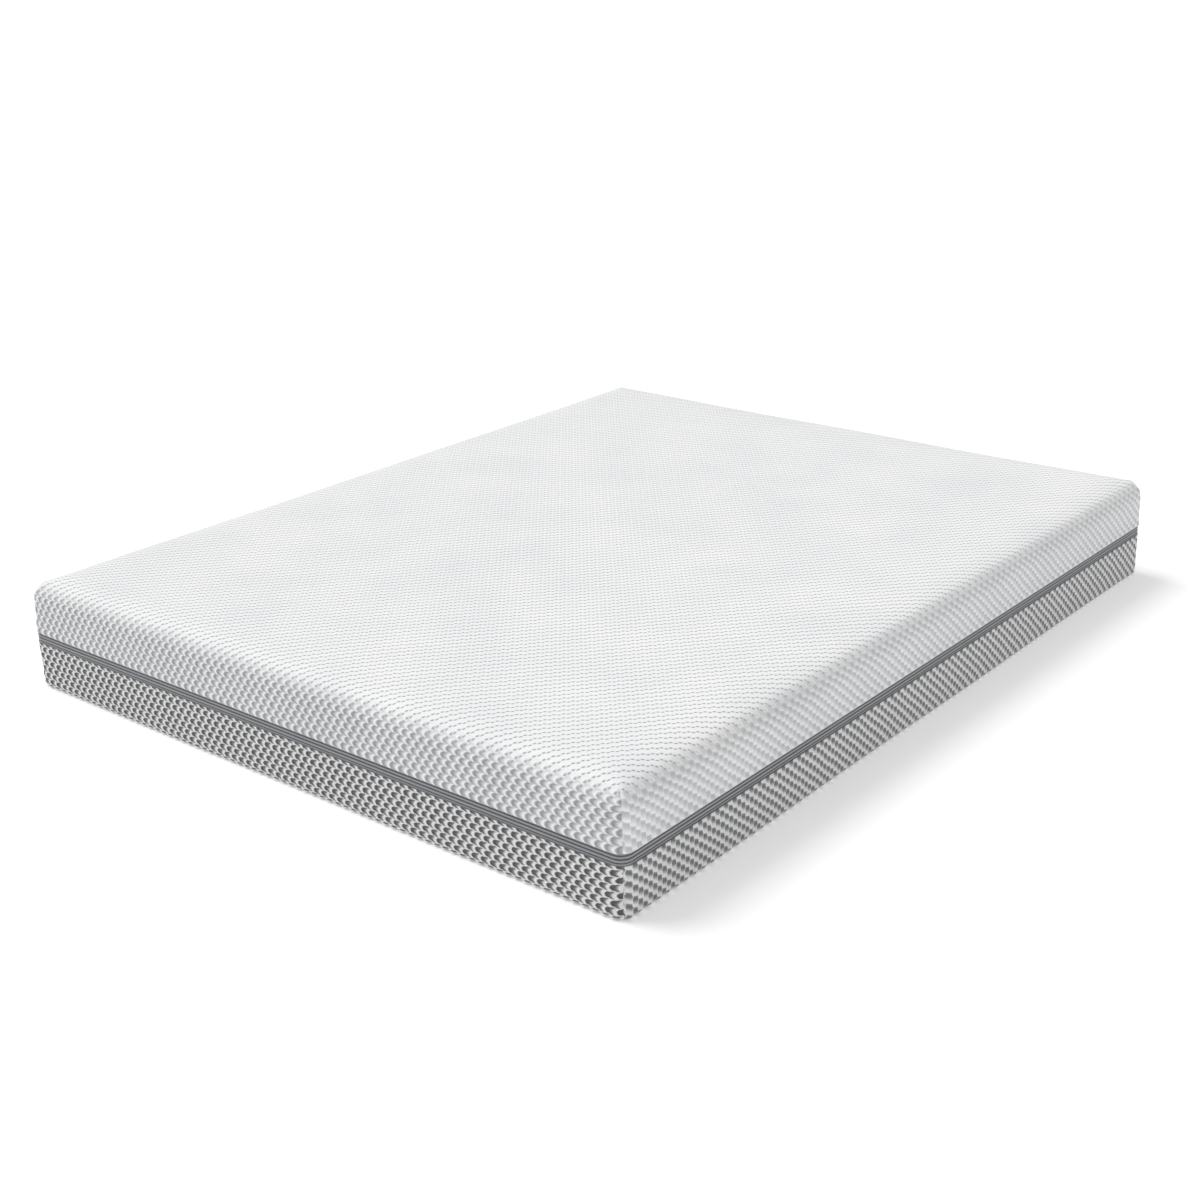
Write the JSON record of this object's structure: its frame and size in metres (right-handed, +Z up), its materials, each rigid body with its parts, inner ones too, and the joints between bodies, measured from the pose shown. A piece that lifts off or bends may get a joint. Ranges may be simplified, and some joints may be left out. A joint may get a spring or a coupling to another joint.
{
  "type": "memory foam mattress",
  "caption": "Rectangular foam mattress with soft rounded edges, in a zip-off knitted cover with a pale upper half and a grey-and-white lower half.",
  "frame": {"origin": "on the underside, in the middle of the mattress", "axes": "+X across the width, +Y along the length away from the foot end, +Z up through the sleeping surface"},
  "size_m": [1.6, 2.0008, 0.24],
  "materials": {
    "white_knit": "thick white jacquard knit with raised crescent cells",
    "grey_white_knit": "the same knit in grey and near-white yarn",
    "grip_fabric": "grey woven base cloth with raised grip dots",
    "label_satin": "blank white satin label",
    "zip_tape": "grey herringbone woven zip tape",
    "zip_coil": "grey nylon coil",
    "zip_metal": "grey lacquered die-cast zinc",
    "liner_jersey": "thin undyed jersey stocking",
    "memory_foam": "fine-celled slow-recovery polyurethane foam",
    "transition_foam": "open-celled elastic polyurethane foam",
    "support_foam": "firm open-celled polyurethane foam"
  },
  "bodies": {
    "lower_cover": {"bottom_cover": "grey_white_knit", "base_panel": "grip_fabric", "care_label": "label_satin", "lower_zip_tape": "zip_tape", "lower_zip_coil": "zip_coil", "lower_end_stop": "zip_metal", "zip_retainer_box": "zip_coil"},
    "foam_core": {"inner_liner": "liner_jersey", "memory_foam": "memory_foam", "transition_foam": "transition_foam", "support_core": "support_foam"},
    "upper_cover": {"top_cover": "white_knit", "upper_zip_tape": "zip_tape", "upper_zip_coil": "zip_coil", "upper_end_stop": "zip_metal", "zip_insert_pin": "zip_coil"},
    "slider": {"zip_slider": "zip_metal"},
    "pull": {"zip_pull": "zip_metal"}
  },
  "joints": [
    {"name": "core_lift", "type": "slide", "parent": "lower_cover", "child": "foam_core", "axis": [0, 0, 1], "range_m": [0, 0.2]},
    {"name": "top_cover_lift", "type": "slide", "parent": "foam_core", "child": "upper_cover", "axis": [0, 0, 1], "range_m": [0, 0.2]},
    {"name": "zip_slider_run", "type": "slide", "parent": "lower_cover", "child": "slider", "axis": [-1, 0, 0], "range_m": [0, 1.1]},
    {"name": "zip_pull_swing", "type": "hinge", "parent": "slider", "child": "pull", "pos_m": [0.5417, 0.99805, 0.1145], "axis": [0, 0, -1], "range_deg": [0, 180]}
  ]
}
